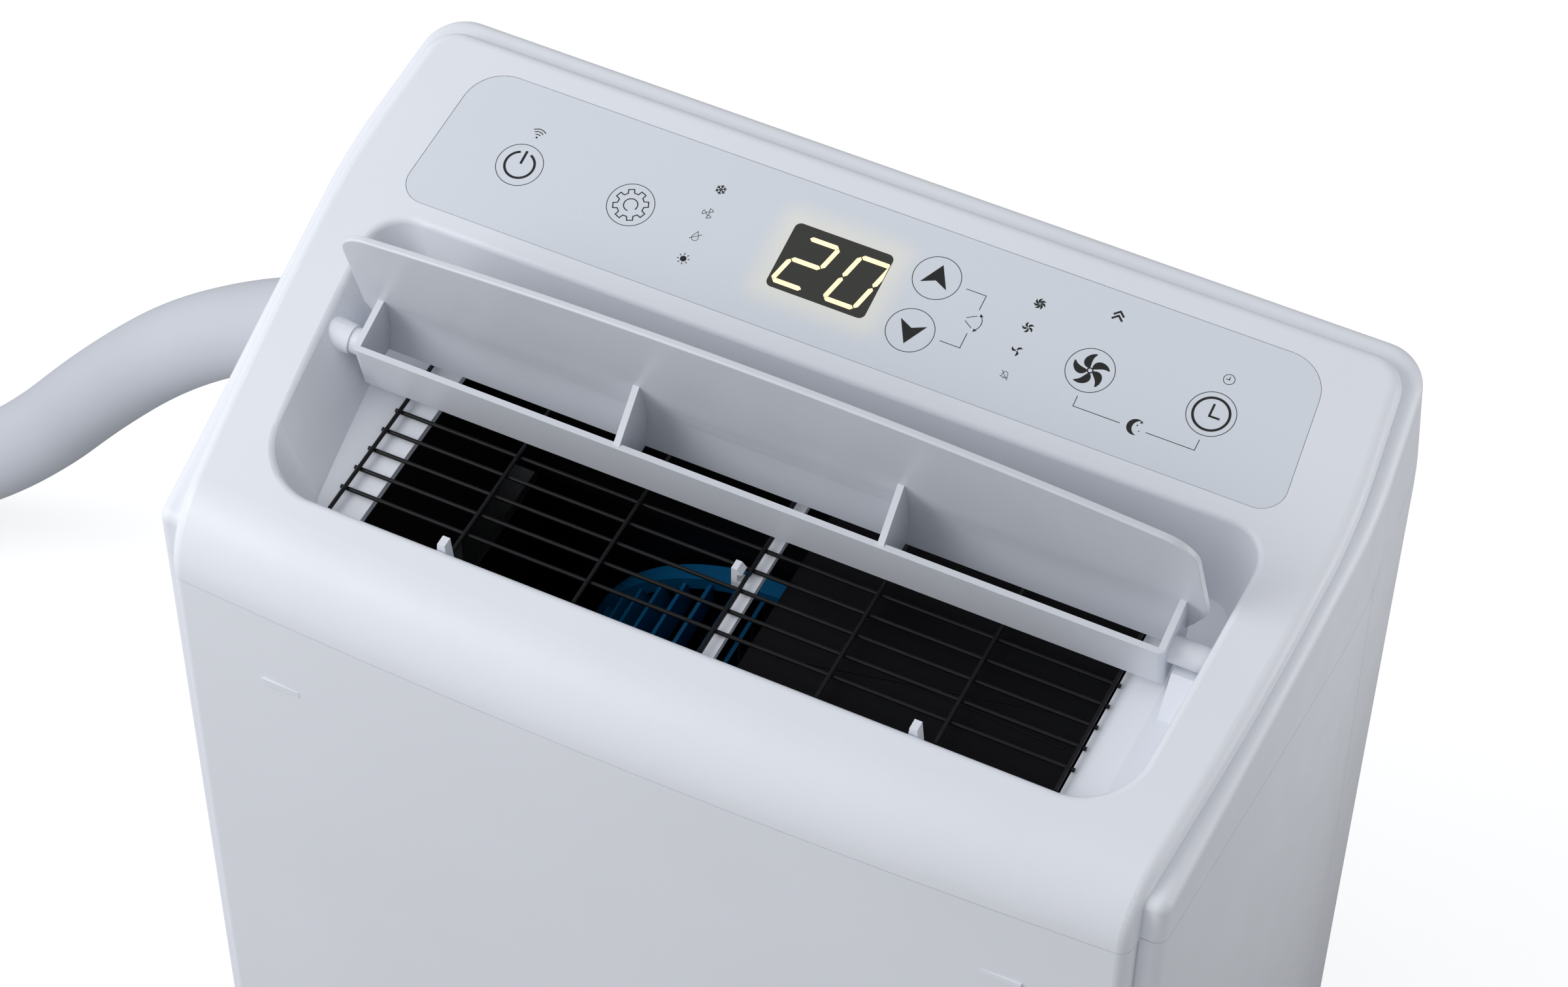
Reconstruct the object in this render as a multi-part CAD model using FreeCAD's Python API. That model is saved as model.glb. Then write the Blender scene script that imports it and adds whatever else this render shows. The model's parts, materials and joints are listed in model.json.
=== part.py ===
"""Indoor unit of a portable air conditioner, in millimetres.

+Z is up and the front faces -Y. The origin is on the floor, under the middle of the cabinet.
The cabinet is a frame with a proud front and top ("island"), which slopes up towards the back.
"""
import FreeCAD
import Part
import math
import os

V = FreeCAD.Vector
X, Y, Z = V(1, 0, 0), V(0, 1, 0), V(0, 0, 1)

# ---- driving dimensions ----
SKIN = 3.0                 # wall of the moulded covers
GAP = 0.4                  # joint line between two covers
SEAM_Z = 631.6             # joint between the top cover and the panels below it
SKIRT_Z = 62.0             # lower edge of the panels
BASE_Z = 50.0              # underside of the base tray
TOP_LIMIT_Z = 780.0        # above everything

TILT = math.radians(13.7)  # rise of the top towards the back
ROW = V(0, 18.0, 704.0)    # middle of the touch row, on the top plane
RIM_DROP = 7.4             # the frame's rim lies this far below the top plane
FRONT_Y = -175.0
FRONT_BOW_R = 3645.0       # the front bulges 5 mm across its width
FRONT_ROUND = 32.0         # rounding from the top down into the front
EDGE_ROUND = 5.0
SHOULDER_Z = 430.0         # the rear slopes forward above this height
REAR_Y = 175.0
REAR_LEAN = math.atan(99.0 / 281.0)
SHOULDER_ROUND = 18.0

# Outlines in plan: corners (x, y, rounding) from the middle of the front round to the back
ISLAND = [(0, -180, 3500), (195.4, -169.8, 0), (205.6, -80, 1100), (210.2, -2, 260), (203.3, 66, 14)]
FRAME = [(205.3, -160, 5), (211.6, -62, 1200), (215.6, 8, 250), (206.5, 100, 100), (178, 158, 60), (105, 175, 150)]
OUTLET = [(176.5, -137.5, 30), (184.6, -18.8, 15)]    # lip of the recess, on the top plane
RECESS_FOOT = [(171.0, -133.5, 16), (176.5, -24.0, 12),        # upright wall on the right
               (-170.0, -24.0, 12), (-153.0, -133.5, 10)]     # leaning wall on the left
FOOT_Z = 649.2
INLAY = [(183.4, -30.0, 10), (177.4, 35.6, 17)]      # on the top plane: x, distance up the slope

# Outlet grille
GRILLE_Z = 650.5
LONG_WIRES_Y = [-31.3 - 10.6 * k for k in range(9)]
CROSS_WIRES_X = [-148.7, -97.4, -45.6, 6.6, 53.9, 101.3, 148.7]
WIRE_R = 0.85

# Louver
PIVOT = V(0, -66.75, 673.85)
STUB_R = 5.25
RUNNING = 0.05             # radial clearance of a turning shaft
PLATE_X = 165.0            # outer end plates
RIB_X = 54.2
BLADE_LEAN = math.radians(18.4)      # the upper blade leans forward by this at rest
BLADE_KNEE = (12.3, 11.0)            # where the lower blade starts to curl (y, z about the pivot)
BLADE_FOOT = (12.0, -13.5)
BLADE_THICK = 3.0

# Blower: axis along Y
AXIS_Z = 502.0
WHEEL_R = 88.0
WHEEL_BACK_Y = -40.0
WHEEL_FRONT_Y = -139.0
BLADES = 44

DECK_Z = 310.0             # plate between the air section and the machine section

# Castors
CASTOR_AT = {"front_left": (-160, -120), "front_right": (160, -120),
             "rear_left": (-158, 112), "rear_right": (158, 112)}
CASTOR_TRAIL = 14.0
CASTOR_WHEEL_R = 20.0

# Hose: it leaves the swivel elbow at HOSE_ROUTE[0]
HOSE_R = 23.0
PORT = V(-66, 175, 356)
ELBOW_R = 29.0
ELBOW_BEND_R = 33.0
HOSE_ROUTE = [
    (-130, 208, 356), (-196, 208, 356), (-262, 208, 351), (-328, 207, 337), (-394, 206, 309),
    (-455, 205, 265), (-510, 204, 203), (-560, 203, 137), (-618, 200, 82), (-690, 192, 42),
    (-768, 171, 23), (-835, 131, 23), (-888, 74, 23), (-923, 4, 23), (-938, -73, 23),
    (-931, -151, 23), (-903, -224, 23), (-856, -286, 23), (-794, -333, 23),
]


# ---- helpers ----
def box(x0, x1, y0, y1, z0, z1):
    return Part.makeBox(x1 - x0, y1 - y0, z1 - z0, V(x0, y0, z0))


def cylinder(radius, start, end):
    start, end = V(*start), V(*end)
    return Part.makeCylinder(radius, (end - start).Length, start, end - start)


def tube(outer, inner, start, end):
    return cylinder(outer, start, end).cut(cylinder(inner, start, end))


def union(shapes):
    return shapes[0].multiFuse(shapes[1:]).removeSplitter() if len(shapes) > 1 else shapes[0]


def mirrored(shape):
    return shape.mirror(V(0, 0, 0), X)


def rounded(corners, z=0.0):
    """Closed wire through corners (x, y, rounding): straight lines joined by tangent arcs."""
    cuts = []
    for i, (x, y, radius) in enumerate(corners):
        corner = V(x, y, z)
        back = V(*corners[i - 1][:2], z) - corner
        ahead = V(*corners[(i + 1) % len(corners)][:2], z) - corner
        back.normalize()
        ahead.normalize()
        half = back.getAngle(ahead) / 2
        inward = back + ahead
        inward.normalize()
        reach = radius / math.tan(half)
        cuts.append((corner + back * reach, corner + inward * (radius / math.sin(half) - radius),
                     corner + ahead * reach))
    edges = []
    for i, (start, middle, end) in enumerate(cuts):
        if corners[i][2]:
            edges.append(Part.Arc(start, middle, end).toShape())
        following = cuts[(i + 1) % len(cuts)][0]
        if (following - end).Length > 1e-4:
            edges.append(Part.LineSegment(end, following).toShape())
    return Part.Wire(edges)


def both_sides(half):
    return half + [(-x, y, r) for x, y, r in reversed(half) if x > 0]


def prism(half, z0, z1, inset=0.0):
    face = Part.Face(rounded(both_sides(half), z0))
    if inset:
        face = face.makeOffset2D(-inset)
    return face.extrude(V(0, 0, z1 - z0))


def polygon_x(points, x0, x1):
    """Outline in (y, z), stretched along X."""
    wire = Part.makePolygon([V(x0, y, z) for y, z in points + points[:1]])
    return Part.Face(wire).extrude(V(x1 - x0, 0, 0))


def polygon_y(points, y0, y1):
    """Outline in (x, z), stretched along Y."""
    wire = Part.makePolygon([V(x, y0, z) for x, z in points + points[:1]])
    return Part.Face(wire).extrude(V(0, y1 - y0, 0))


def on_top(shape):
    """Place a shape drawn on a level plane onto the sloping top plane."""
    placed = shape.copy()
    placed.rotate(V(0, 0, 0), X, math.degrees(TILT))
    placed.translate(ROW)
    return placed


def above_top(drop):
    return on_top(Part.makeBox(900, 900, 300, V(-450, -450, -drop)))


def on_rear_slope(shape):
    """Place a shape drawn on the plane y = 0, with z up the slope, onto the rear slope."""
    placed = shape.copy()
    placed.rotate(V(0, 0, 0), X, math.degrees(REAR_LEAN))
    placed.translate(V(0, REAR_Y, SHOULDER_Z))
    return placed


def middle(edge):
    return edge.valueAt((edge.FirstParameter + edge.LastParameter) / 2)


def edges_on(shape, point, normal):
    def near(p):
        return abs((p - point).dot(normal)) < 0.05
    return [e for e in shape.Edges if near(middle(e)) and all(near(v.Point) for v in e.Vertexes)]


# ---- cabinet form ----
TOP_UP = V(0, -math.sin(TILT), math.cos(TILT))


def frame_form(inset, bottom):
    form = prism(FRAME, bottom, TOP_LIMIT_Z, inset)
    form = form.cut(on_rear_slope(Part.makeBox(900, 400, 900, V(-450, -inset, -450))))
    form = form.cut(above_top(RIM_DROP + inset))
    slope_up = V(0, math.cos(REAR_LEAN), math.sin(REAR_LEAN))
    rim_point = ROW - TOP_UP * (RIM_DROP + inset)
    on_rim = [middle(e) for e in edges_on(form, rim_point, TOP_UP)]
    shoulder = [e for e in edges_on(form, V(0, REAR_Y, SHOULDER_Z) - slope_up * inset, slope_up)
                if all((middle(e) - p).Length > 0.1 for p in on_rim)]
    form = form.makeFillet(SHOULDER_ROUND - inset, shoulder)
    return form.makeFillet(EDGE_ROUND - inset, edges_on(form, rim_point, TOP_UP))


def island_form(inset, bottom):
    form = prism(ISLAND, bottom, TOP_LIMIT_Z, inset).cut(above_top(inset))
    brow = [e for e in edges_on(form, ROW - TOP_UP * inset, TOP_UP) if middle(e).y < -165]
    form = form.makeFillet(FRONT_ROUND - inset, brow)
    border = []
    for e in form.Edges:
        m = middle(e)
        lowest, highest = e.BoundBox.ZMin, e.BoundBox.ZMax
        across = abs(m.x) < 190 and m.y < -120
        side_or_back = lowest > bottom + 1 or (abs(m.x) > 191 and m.y < -160)
        if highest > bottom + 1 and side_or_back and not across:
            border.append(e)
    return form.makeFillet(EDGE_ROUND - inset, border)


def body_form(inset, bottom):
    return frame_form(inset, bottom).fuse(island_form(inset, bottom))


def cabinet_skin():
    return body_form(0.0, SKIRT_Z).cut(body_form(SKIN, SKIRT_Z - 10))


# ---- covers ----
def recess_hollow():
    """The recess above its floor: its sides lean outwards from the foot to the lip."""
    over = 4.0
    rows = []
    for (x0, y0, _), (x1, y1, radius) in zip(RECESS_FOOT, both_sides(OUTLET)):
        depth = (ROW.z + math.tan(TILT) * (y1 - ROW.y) - FOOT_Z) * math.cos(TILT)
        beyond = 1 + over / depth
        x = x0 + (x1 - x0) * beyond
        y = y0 + (y1 - y0) * beyond
        rows.append((x, (y - ROW.y + over * math.sin(TILT)) / math.cos(TILT), radius))
    foot = rounded(RECESS_FOOT, FOOT_Z)
    lip = on_top(rounded(rows, over))
    return Part.makeLoft([foot, lip], True, True)


def recess_floors():
    """Sloping floors beside the grille, the ledges at its edges, a flange on the left, and two clips."""
    floor = polygon_y([(149.8, 645.5), (149.8, 649.2), (166, 653.4), (190, 653.4), (190, 645.5)], -150, -10)
    ledge_back = box(-190, 190, -28.6, -10, 645.5, 652.0)
    ledge_front = box(-190, 190, -150, -129.6, 645.5, 652.0)
    flange = box(-155, -137, -150, -10, 645.5, 648.9)
    slabs = union([floor, mirrored(floor), ledge_back, ledge_front, flange])
    clips = [polygon_y([(x - 3.2, 650), (x + 3.2, 650), (x + 1.5, 667), (x - 1.5, 667)], -136.5, -132)
             for x in (-96, 96)]
    return [slabs.common(prism(OUTLET, 640, 700, -1.5))] + clips


def top_cover(skin):
    cover = skin.common(box(-300, 300, -300, 300, SEAM_Z + GAP / 2, TOP_LIMIT_Z))
    well = prism(OUTLET, 645.5, TOP_LIMIT_Z, -2.5).cut(above_top(1.0))
    under = Part.Face(rounded(RECESS_FOOT, 640)).extrude(V(0, 0, FOOT_Z - 639))
    cover = cover.fuse(well).cut(recess_hollow()).cut(under)
    lip = [e for e in edges_on(cover, ROW, TOP_UP) if abs(middle(e).x) < 186 and -140 < middle(e).y < -15]
    cover = cover.makeFillet(3.0, lip)
    boss = Part.makeCone(7.2, 5.9, 9.5, V(-181.0, PIVOT.y, PIVOT.z), X)
    cover = cover.multiFuse(recess_floors() + [boss])
    cover = cover.cut(cylinder(STUB_R + RUNNING, (-190, PIVOT.y, PIVOT.z), (-168, PIVOT.y, PIVOT.z)))
    cover = cover.cut(cylinder(STUB_R + 1.0, (168, PIVOT.y, PIVOT.z), (190, PIVOT.y, PIVOT.z)))
    pocket = on_top(prism(INLAY, -0.8, 5))
    cable_slot = on_top(box(-40, 40, -20, 20, -10, 5))
    return cover.cut(pocket).cut(cable_slot)


SIDE_BACK = [(-400, 700), (22.2, 700), (26, SEAM_Z), (45.6, 436), (45.6, 0), (-400, 0)]


def front_panel(skin):
    panel = skin.common(box(-196, 196, -200, -160.7, SKIRT_Z, SEAM_Z - GAP / 2))
    hooks = [box(x - 8, x + 8, -172.5, -163, z, z + 3) for x in (-150, 0, 150) for z in (120, 590)]
    return union([panel] + hooks)


def side_panel(skin, side):
    panel = skin.common(box(-300, 300, -160.3, 60, SKIRT_Z, SEAM_Z - GAP / 2))
    return panel.common(polygon_x(SIDE_BACK, 190 if side > 0 else -300, 300 if side > 0 else -190))


DOOR_HALF, DOOR_LOW, DOOR_HIGH = 150.0, 14.0, 150.0     # intake door, measured up the rear slope
GRIP_HALF, GRIP_LOW, GRIP_HIGH, GRIP_DEEP = 62.0, 164.0, 198.0, 26.0
POCKET_X, POCKET_Z, POCKET_Y = (36.0, 96.0), (92.0, 148.0), 156.0


def rear_cover(skin):
    ahead = polygon_x([(y + (GAP if y > 0 else 0), z) for y, z in SIDE_BACK], -300, 300)
    cover = skin.common(box(-300, 300, 0, 200, SKIRT_Z, SEAM_Z - GAP / 2)).cut(ahead)
    door = on_rear_slope(box(-DOOR_HALF - GAP, DOOR_HALF + GAP, -20, 20, DOOR_LOW - GAP, DOOR_HIGH + GAP))
    grip = on_rear_slope(box(-GRIP_HALF, GRIP_HALF, -20, 20, GRIP_LOW, GRIP_HIGH))
    cover = cover.cut(door).cut(grip).cut(box(*POCKET_X, 150, 200, *POCKET_Z))
    return cover.cut(cylinder(ELBOW_R + 7, (PORT.x, 160, PORT.z), (PORT.x, 190, PORT.z)))


def grip_cup():
    """Carrying recess behind the opening high on the rear slope; the fingers hook up behind its lip."""
    wall = 2.5
    outer = box(-GRIP_HALF - wall, GRIP_HALF + wall, -GRIP_DEEP - wall, -SKIN - 0.1, GRIP_LOW - wall, GRIP_HIGH + 10)
    inner = box(-GRIP_HALF, GRIP_HALF, -GRIP_DEEP, 1, GRIP_LOW, GRIP_HIGH + 7.5)
    return on_rear_slope(outer.cut(inner))


def service_pocket():
    wall = 2.5
    (x0, x1), (z0, z1) = POCKET_X, POCKET_Z
    cup = box(x0 - wall, x1 + wall, POCKET_Y - wall, REAR_Y - SKIN - 1.0, z0 - wall, z1 + wall)
    cup = cup.cut(box(x0, x1, POCKET_Y, 200, z0, z1))
    cup = cup.cut(cylinder(PLUG_R + 0.15, (PLUG_X, 150, POCKET_MID_Z), (PLUG_X, 160, POCKET_MID_Z)))
    return cup.cut(cylinder(GLAND_R, (GLAND_X, 150, POCKET_MID_Z), (GLAND_X, 160, POCKET_MID_Z)))


PLUG_X, GLAND_X, POCKET_MID_Z, PLUG_R, GLAND_R = 52.0, 80.0, 120.0, 7.0, 8.0


def drain_plug():
    knob = cylinder(10.5, (PLUG_X, POCKET_Y + 0.2, POCKET_MID_Z), (PLUG_X, POCKET_Y + 5, POCKET_MID_Z))
    tab = box(PLUG_X - 1.5, PLUG_X + 1.5, POCKET_Y + 4, POCKET_Y + 14, POCKET_MID_Z - 7, POCKET_MID_Z + 7)
    stem = cylinder(PLUG_R, (PLUG_X, POCKET_Y - 16, POCKET_MID_Z), (PLUG_X, POCKET_Y + 1, POCKET_MID_Z))
    return union([knob, tab, stem])


def drain_spout():
    return tube(PLUG_R + 2.5, PLUG_R + 0.15, (PLUG_X, POCKET_Y - 30, POCKET_MID_Z),
                (PLUG_X, POCKET_Y - 2.6, POCKET_MID_Z))


def cord_gland():
    body = tube(GLAND_R, 3.6, (GLAND_X, POCKET_Y - 10, POCKET_MID_Z), (GLAND_X, POCKET_Y + 0.5, POCKET_MID_Z))
    nut = tube(12, 3.6, (GLAND_X, POCKET_Y + 0.5, POCKET_MID_Z), (GLAND_X, POCKET_Y + 6, POCKET_MID_Z))
    cone = Part.makeCone(9, 6.5, 10, V(GLAND_X, POCKET_Y + 6, POCKET_MID_Z), Y)
    bore = cylinder(3.6, (GLAND_X, POCKET_Y + 5, POCKET_MID_Z), (GLAND_X, POCKET_Y + 20, POCKET_MID_Z))
    return union([body, nut, cone.cut(bore)])


# ---- intake at the rear ----
def intake_door():
    panel = box(-DOOR_HALF, DOOR_HALF, -SKIN, 0, DOOR_LOW, DOOR_HIGH)
    slots = []
    for k in range(11):
        z = DOOR_LOW + 13 + 10 * k
        for x0 in (-136, -40, 56):
            slots.append(box(x0, x0 + 80, -SKIN - 1, 1, z, z + 5.5))
    finger = box(-22, 22, -1.2, 1, DOOR_HIGH - 10, DOOR_HIGH - 6)
    return on_rear_slope(panel.cut(Part.makeCompound(slots)).cut(finger))


def air_filter():
    """Frame with a coarse mesh of crossed bars, clipped to the back of the intake door."""
    y0, y1 = -SKIN - 5, -SKIN - 0.1
    frame = box(-144, 144, y0, y1, DOOR_LOW + 5, DOOR_HIGH - 5)
    frame = frame.cut(box(-138, 138, y0 - 1, y1 + 1, DOOR_LOW + 11, DOOR_HIGH - 11))
    bars = [box(x - 1, x + 1, y0, y0 + 2, DOOR_LOW + 8, DOOR_HIGH - 8) for x in range(-120, 121, 24)]
    bars += [box(-140, 140, y0, y0 + 2, z - 1, z + 1) for z in range(40, 136, 24)]
    return on_rear_slope(union([frame] + bars))


# ---- controls ----
WINDOW = (-33.0, 8.2, -12.4, 17.4)
WINDOW_ROUND = 2.6


def window_plate(inset, z0, z1):
    x0, x1, v0, v1 = WINDOW
    x0, x1, v0, v1 = x0 + inset, x1 - inset, v0 + inset, v1 - inset
    corner = WINDOW_ROUND - inset
    wire = rounded([(x0, v0, corner), (x1, v0, corner), (x1, v1, corner), (x0, v1, corner)], z0)
    return Part.Face(wire).extrude(V(0, 0, z1 - z0))


def control_inlay():
    plate = prism(INLAY, -0.8, -0.1, 0.25)
    return on_top(plate.cut(window_plate(0.0, -2, 2)))


def display_window():
    return on_top(window_plate(0.1, -0.8, -0.12))


def display_module():
    return on_top(box(-32, 7, -11.5, 16.5, -7.3, -1.2))


def touch_board():
    board = box(-168, 168, -26, 28, -9.2, -7.4)
    pads = [cylinder(8.5, (x, v, -7.4), (x, v, -3.9))
            for x, v in ((-144, 0), (-96, 0), (26.5, 14.7), (26.5, -9.7), (95.7, 0), (144.3, 0))]
    return on_top(union([board] + pads))


# ---- outlet ----
def outlet_grille():
    ends = 151.0
    wires = [cylinder(WIRE_R, (-ends, y, GRILLE_Z), (ends, y, GRILLE_Z)) for y in LONG_WIRES_Y]
    wires += [cylinder(WIRE_R, (x, -128.6, GRILLE_Z + 1.6), (x, -29.4, GRILLE_Z + 1.6)) for x in CROSS_WIRES_X]
    return union(wires)


def duct_divider():
    """Rib across the duct under the grille, with a clip that holds the fourth cross wire."""
    x = CROSS_WIRES_X[3]
    rib = box(x + 0.2, x + 4.8, -129.6, -28.6, 646.4, 649.3)
    foot = box(x - 5.6, x + 0.2, -91, -86.5, 645.5, 649.3)
    post = box(x - 5.6, x - 3.2, -91, -86.5, 645.5, 656.5)
    nose = polygon_y([(x - 5.6, 656.5), (x - 3.2, 656.5), (x - 1.2, 654.2), (x - 3.2, 653.6)], -91, -86.5)
    return union([rib, foot, post, nose])


def louver_blade_section():
    """Closed outline of the blade in (y, z) about the pivot: straight above the knee, curled below it."""
    up = V(0, -math.sin(BLADE_LEAN), math.cos(BLADE_LEAN))
    back = V(0, up.z, -up.y) * BLADE_THICK
    knee, foot = V(0, *BLADE_KNEE), V(0, *BLADE_FOOT)
    belly = (knee + foot) / 2 + V(0, 2.05, 0)
    tip = knee + up * 70
    foot_back = foot + V(0, 2.4, -1.0)
    belly_back = belly + V(0, BLADE_THICK, -0.3)
    edges = [Part.LineSegment(tip, knee).toShape(), Part.Arc(knee, belly, foot).toShape(),
             Part.LineSegment(foot, foot_back).toShape(),
             Part.Arc(foot_back, belly_back, knee + back).toShape(),
             Part.LineSegment(knee + back, tip + back).toShape(), Part.LineSegment(tip + back, tip).toShape()]
    return Part.Face(Part.Wire(edges))


def louver_blade_outline():
    """Front view of the blade in (x, z): crowned top edge, round corners, tapered below the ears."""
    top, side = 75.2, 172.0
    rise = 12.5
    crown = Part.Arc(V(side, 0, top - rise), V(0, 0, top), V(-side, 0, top - rise)).toShape()
    half = [(side, top - rise), (174.3, 9), (172.3, 5), (169.4, 0), (PLATE_X + 1.3, -4), (PLATE_X + 1.3, -20)]
    rest = [V(-x, 0, z) for x, z in half] + [V(x, 0, z) for x, z in reversed(half)]
    sides = [Part.LineSegment(a, b).toShape() for a, b in zip(rest, rest[1:])]
    solid = Part.Face(Part.Wire([crown] + sides)).extrude(V(0, 100, 0))
    corners = [e for e in solid.Edges if abs(middle(e).y - 50) < 1 and abs(middle(e).z - top + rise) < 1]
    solid = solid.makeFillet(15.0, corners)
    solid.translate(V(0, -50, 0))
    return solid


def louver():
    """Swing flap: tall blade, front strip, two end plates and two ribs, on two stub shafts."""
    width = 2 * PLATE_X + 40
    blade = louver_blade_section().extrude(V(width, 0, 0))
    blade.translate(V(-width / 2, 0, 0))
    blade = blade.common(louver_blade_outline())
    rim = [e for e in blade.Edges if middle(e).z > 12 and e.Length > 20 and abs(middle(e).z - 61) < 16]
    blade = blade.makeFillet(0.7, rim)
    out = PLATE_X + 1.3
    strip = polygon_x([(-10.4, 7.6), (-7.8, 7.9), (-3.1, -15.3), (-5.1, -15.9)], -out, out)
    plates = []
    for x, top in ((-PLATE_X, 14.7), (-RIB_X, 25.0), (RIB_X, 25.0), (PLATE_X, 14.7)):
        back = BLADE_KNEE[0] + 1.2 - math.tan(BLADE_LEAN) * (top - BLADE_KNEE[1])
        outline = [(-9.6, 7.4), (back, top), (14.0, 4), (14.0, -8), (12.4, -13), (-5.0, -15.0)]
        plates.append(polygon_x(outline, x - 1.3, x + 1.3))
    shape = union([blade, strip] + plates)
    joint = [e for e in shape.Edges if abs(abs(middle(e).x) - out) < 0.1 and abs(middle(e).y + 8) < 1.5
             and e.Length > 20]
    shape = shape.makeFillet(2.6, joint)
    stubs = [cylinder(STUB_R, (side * PLATE_X, 0, 0), (side * 187, 0, 0)) for side in (-1, 1)]
    shape = union([shape] + stubs)
    shape.translate(PIVOT)
    return shape


def louver_cradle(cover):
    """Rib on the right floor of the recess; its open top carries the stub shaft."""
    y, z = PIVOT.y, PIVOT.z
    rib = polygon_x([(y - 18, 648), (y - 17, 653.4), (y - 6.5, z - 5.4), (y + 5.5, z - 5.4), (y + 12, 653.4),
                     (y + 13, 648)], 169.2, 178.0)
    return rib.cut(cylinder(STUB_R + RUNNING, (160, y, z), (180, y, z))).cut(cover)


def louver_motor():
    """Stepper motor outside the left wall of the recess, with a cup over the stub shaft."""
    y, z = PIVOT.y, PIVOT.z
    can = cylinder(12, (-200, y + 3, z - 8), (-190, y + 3, z - 8))
    cup = tube(6.5, STUB_R + RUNNING, (-190.5, y, z), (-187.4, y, z)).cut(above_top(SKIN + 0.4))
    lugs = box(-191.5, -190, y - 17, y + 23, z - 12, z - 4)
    return union([can, cup, lugs])


def outlet_duct():
    """Black duct from the blower up to the grille."""
    def level(half_x, y0, y1, z):
        points = [V(-half_x, y0, z), V(half_x, y0, z), V(half_x, y1, z), V(-half_x, y1, z), V(-half_x, y0, z)]
        return Part.makePolygon(points)
    wall = 2.0
    outer = Part.makeLoft([level(124, -145, -36, 597), level(154, -134, -24, 645)], True, True)
    inner = Part.makeLoft([level(124 - wall, -145 + wall, -36 - wall, 596.9),
                           level(154 - wall, -134 + wall, -24 - wall, 645.1)], True, True)
    return outer.cut(inner)


def duct_deflector():
    """Black baffle over the right half of the duct, close under the grille, with two pressed ridges."""
    sheet = polygon_y([(19, 642.2), (19, 643.4), (146, 643.4), (146, 642.2)], -126, -36)
    ridges = []
    for start, end in (((30, -112), (142, -88)), ((62, -100), (142, -104))):
        ridges.append(cylinder(0.6, (*start, 643.3), (*end, 643.3)))
    return union([sheet] + ridges)


# ---- blower ----
SCROLL = [(-112, 596, 0), (122, 596, 0), (122, 384, 108), (-106, 384, 98)]
SCROLL_Y = (-146.0, -34.0)


def scroll_outline(inset, y0, y1):
    face = Part.Face(rounded(SCROLL))
    if inset:
        face = face.makeOffset2D(-inset)
    solid = face.extrude(V(0, 0, y0 - y1))
    solid.rotate(V(0, 0, 0), X, 90)
    solid.translate(V(0, y0, 0))
    return solid


def blower_scroll():
    wall = 2.5
    y0, y1 = SCROLL_Y
    shell = scroll_outline(0, y0, y1).cut(scroll_outline(wall, y0 + wall, y1 - wall))
    shell = shell.cut(box(-112 + wall, 122 - wall, y0 + wall, y1 - wall, 590, 600))
    shell = shell.cut(cylinder(74, (0, y1 - 5, AXIS_Z), (0, y1 + 5, AXIS_Z)))
    return shell.cut(cylinder(42, (0, y0 - 5, AXIS_Z), (0, y0 + 5, AXIS_Z)))


def blower_wheel():
    ring = tube(WHEEL_R, WHEEL_R - 5.5, (0, WHEEL_BACK_Y - 8, AXIS_Z), (0, WHEEL_BACK_Y, AXIS_Z))
    disc = cylinder(WHEEL_R - 1, (0, WHEEL_FRONT_Y, AXIS_Z), (0, WHEEL_FRONT_Y + 3, AXIS_Z))
    hub = cylinder(12, (0, WHEEL_FRONT_Y, AXIS_Z), (0, WHEEL_FRONT_Y + 26, AXIS_Z))
    blades = []
    for k in range(BLADES):
        blade = Part.makeBox(1.5, 90, 13, V(-0.75, WHEEL_FRONT_Y + 2.5, -6.5))
        blade.rotate(V(0, 0, 0), Y, 24)
        blade.translate(V(0, 0, WHEEL_R - 8.5))
        blade.rotate(V(0, 0, 0), Y, 360.0 * (k + 0.35) / BLADES)
        blade.translate(V(0, 0, AXIS_Z))
        blades.append(blade)
    bore = cylinder(4 + RUNNING, (0, WHEEL_FRONT_Y - 1, AXIS_Z), (0, WHEEL_FRONT_Y + 24, AXIS_Z))
    return union([ring, disc, hub] + blades).cut(bore)


def blower_motor():
    can = cylinder(38, (0, -167, AXIS_Z), (0, -148.6, AXIS_Z))
    boss = cylinder(14, (0, -148.6, AXIS_Z), (0, -142, AXIS_Z))
    shaft = cylinder(4, (0, -142, AXIS_Z), (0, WHEEL_FRONT_Y + 22, AXIS_Z))
    return union([can, boss, shaft])


def motor_bracket():
    plate = box(-62, 62, -150.2, -148.2, AXIS_Z - 62, AXIS_Z + 62)
    plate = plate.cut(cylinder(38.2, (0, -155, AXIS_Z), (0, -145, AXIS_Z)))
    feet = [cylinder(5, (x, -148.2, AXIS_Z + z), (x, -146.1, AXIS_Z + z)) for x in (-55, 55) for z in (-55, 55)]
    return union([plate] + feet)


def intake_ring():
    outer = Part.makeCone(71, 84, 14, V(0, -35.5, AXIS_Z), Y)
    inner = Part.makeCone(68.5, 81.5, 14, V(0, -35.5, AXIS_Z), Y)
    flange = tube(90, 71, (0, -33.8, AXIS_Z), (0, -31.8, AXIS_Z))
    return union([outer, flange]).cut(inner)


# ---- cooling circuit ----
COIL_Y = (42.0, 78.0)
COIL_Z = (386.0, 610.0)


def evaporator_fins():
    block = box(-148, 148, *COIL_Y, *COIL_Z)
    slots = [box(x, x + 4.4, COIL_Y[0] - 1, COIL_Y[1] - 3, COIL_Z[0] + 3, COIL_Z[1] - 3) for x in range(-144, 140, 6)]
    return block.cut(Part.makeCompound(slots))


def evaporator_bends():
    """Return bends of the copper coil at both ends, and the two headers."""
    def bend(x, z, sign):
        ring = Part.makeTorus(11, 4, V(x, 0, z), Y)
        half = box(min(x, x + sign * 20), max(x, x + sign * 20), -10, 10, z - 20, z + 20)
        return ring.common(half)
    bends = []
    for row in (COIL_Y[0] + 11, COIL_Y[1] - 11):
        for k in range(5):
            for sign in (-1, 1):
                piece = bend(sign * 148, COIL_Z[0] + 34 + 42 * k, sign)
                piece.translate(V(0, row, 0))
                bends.append(piece)
    return Part.makeCompound(bends)


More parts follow.
